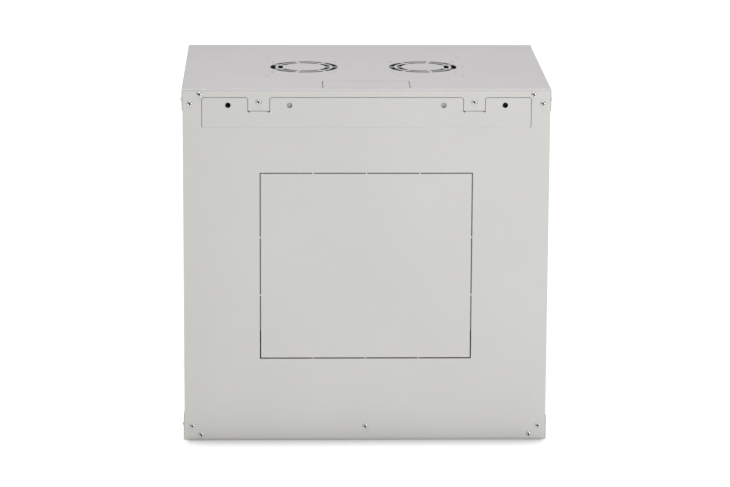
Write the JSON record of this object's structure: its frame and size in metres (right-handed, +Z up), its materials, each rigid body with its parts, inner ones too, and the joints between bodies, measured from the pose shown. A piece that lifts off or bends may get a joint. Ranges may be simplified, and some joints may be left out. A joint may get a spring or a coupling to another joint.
{
  "type": "wall-mount network cabinet",
  "caption": "Light-grey steel wall cabinet for 19-inch network equipment, with a framed glass door, removable sides, depth-adjustable rails and a lift-in wall bracket.",
  "frame": {"origin": "centre of the footprint on the underside of the base", "axes": "+Z up; the door faces -Y and the wall side, with the wall bracket, faces +Y; left and right are those of someone facing the door, so +X is right"},
  "size_m": [0.6048, 0.4548, 0.59],
  "materials": {
    "shell_coat": "fine-textured light grey powder coat",
    "frame_coat": "light grey powder coat",
    "rail_coat": "smooth light grey powder coat",
    "bolt_zinc": "zinc-plated",
    "screw_zinc": "bright zinc-plated",
    "zinc_steel": "zinc-plated",
    "lock_chrome": "nickel-plated zinc casting",
    "brass": "plain brass",
    "door_glass": "smoked toughened glass",
    "tape": "black foam tape",
    "rubber": "matt black rubber"
  },
  "bodies": {
    "cabinet": {"roof_panel": "shell_coat", "base_panel": "shell_coat", "rear_panel": "shell_coat", "wall_bracket": "shell_coat", "bracket_recess": "frame_coat", "front_post_right": "frame_coat", "front_post_left": "frame_coat", "rear_post_right": "frame_coat", "rear_post_left": "frame_coat", "corner_pads": "frame_coat", "front_header": "frame_coat", "front_sill": "frame_coat", "rear_foot_rail": "frame_coat", "depth_bar_upper_right": "frame_coat", "depth_bar_upper_left": "frame_coat", "depth_bar_lower_right": "frame_coat", "depth_bar_lower_left": "frame_coat", "hinge_brackets": "frame_coat", "rear_panel_screws": "screw_zinc", "bracket_screws": "screw_zinc", "side_flange_screws": "screw_zinc", "bar_screws": "screw_zinc", "bracket_nuts": "zinc_steel", "earth_studs": "brass", "earth_nuts": "brass", "door_bumpers": "rubber"},
    "door": {"door_frame": "shell_coat", "door_glass": "door_glass", "glass_tape": "tape", "glass_clips": "frame_coat", "glass_clip_screws": "screw_zinc", "door_lock_body": "lock_chrome", "door_lock_nut": "zinc_steel", "hinge_pin_guides": "frame_coat", "hinge_spring": "zinc_steel", "lower_hinge_pin": "zinc_steel"},
    "hinge_pin": {"upper_hinge_pin": "zinc_steel"},
    "door_key_plug": {"door_lock_plug": "lock_chrome", "door_lock_cam": "zinc_steel"},
    "rail_front_right_body": {"rail_front_right": "rail_coat", "rail_bolts_front_right": "bolt_zinc"},
    "rail_front_left_body": {"rail_front_left": "rail_coat", "rail_bolts_front_left": "bolt_zinc"},
    "rail_rear_right_body": {"rail_rear_right": "rail_coat", "rail_bolts_rear_right": "bolt_zinc"},
    "rail_rear_left_body": {"rail_rear_left": "rail_coat", "rail_bolts_rear_left": "bolt_zinc"},
    "side_right": {"side_panel_right": "shell_coat", "side_panel_hooks_right": "frame_coat", "side_lock_body_right": "lock_chrome"},
    "side_right_key_plug": {"side_lock_plug_right": "lock_chrome", "side_lock_cam_right": "zinc_steel"},
    "side_left": {"side_panel_left": "shell_coat", "side_panel_hooks_left": "frame_coat", "side_lock_body_left": "lock_chrome"},
    "side_left_key_plug": {"side_lock_plug_left": "lock_chrome", "side_lock_cam_left": "zinc_steel"}
  },
  "joints": [
    {"name": "door_hinge", "type": "hinge", "parent": "cabinet", "child": "door", "pos_m": [-0.2896, -0.21725, 0.295], "axis": [0, 0, -1], "range_deg": [0, 180]},
    {"name": "hinge_pin_release", "type": "slide", "parent": "door", "child": "hinge_pin", "axis": [0, 0, -1], "range_m": [0, 0.008], "stiffness_N_per_m": 400, "springref_m": -0.01, "deforming": ["hinge_spring"]},
    {"name": "door_lock_turn", "type": "hinge", "parent": "door", "child": "door_key_plug", "pos_m": [0.25, -0.225, 0.295], "axis": [0, -1, 0], "range_deg": [0, 90]},
    {"name": "rail_front_right_slide", "type": "slide", "parent": "cabinet", "child": "rail_front_right_body", "axis": [0, 1, 0], "range_m": [-0.02, 0.1]},
    {"name": "rail_front_left_slide", "type": "slide", "parent": "cabinet", "child": "rail_front_left_body", "axis": [0, 1, 0], "range_m": [-0.02, 0.1]},
    {"name": "rail_rear_right_slide", "type": "slide", "parent": "cabinet", "child": "rail_rear_right_body", "axis": [0, 1, 0], "range_m": [-0.1, 0.03]},
    {"name": "rail_rear_left_slide", "type": "slide", "parent": "cabinet", "child": "rail_rear_left_body", "axis": [0, 1, 0], "range_m": [-0.1, 0.03]},
    {"name": "side_right_tilt", "type": "hinge", "parent": "cabinet", "child": "side_right", "pos_m": [0.298, 0, 0.041], "axis": [0, 1, 0], "range_deg": [0, 25]},
    {"name": "side_right_lock_turn", "type": "hinge", "parent": "side_right", "child": "side_right_key_plug", "pos_m": [0.2986, 0.008, 0.523], "axis": [1, 0, 0], "range_deg": [0, 90]},
    {"name": "side_left_tilt", "type": "hinge", "parent": "cabinet", "child": "side_left", "pos_m": [-0.298, 0, 0.041], "axis": [0, -1, 0], "range_deg": [0, 25]},
    {"name": "side_left_lock_turn", "type": "hinge", "parent": "side_left", "child": "side_left_key_plug", "pos_m": [-0.2986, 0.008, 0.523], "axis": [1, 0, 0], "range_deg": [0, 90]}
  ]
}
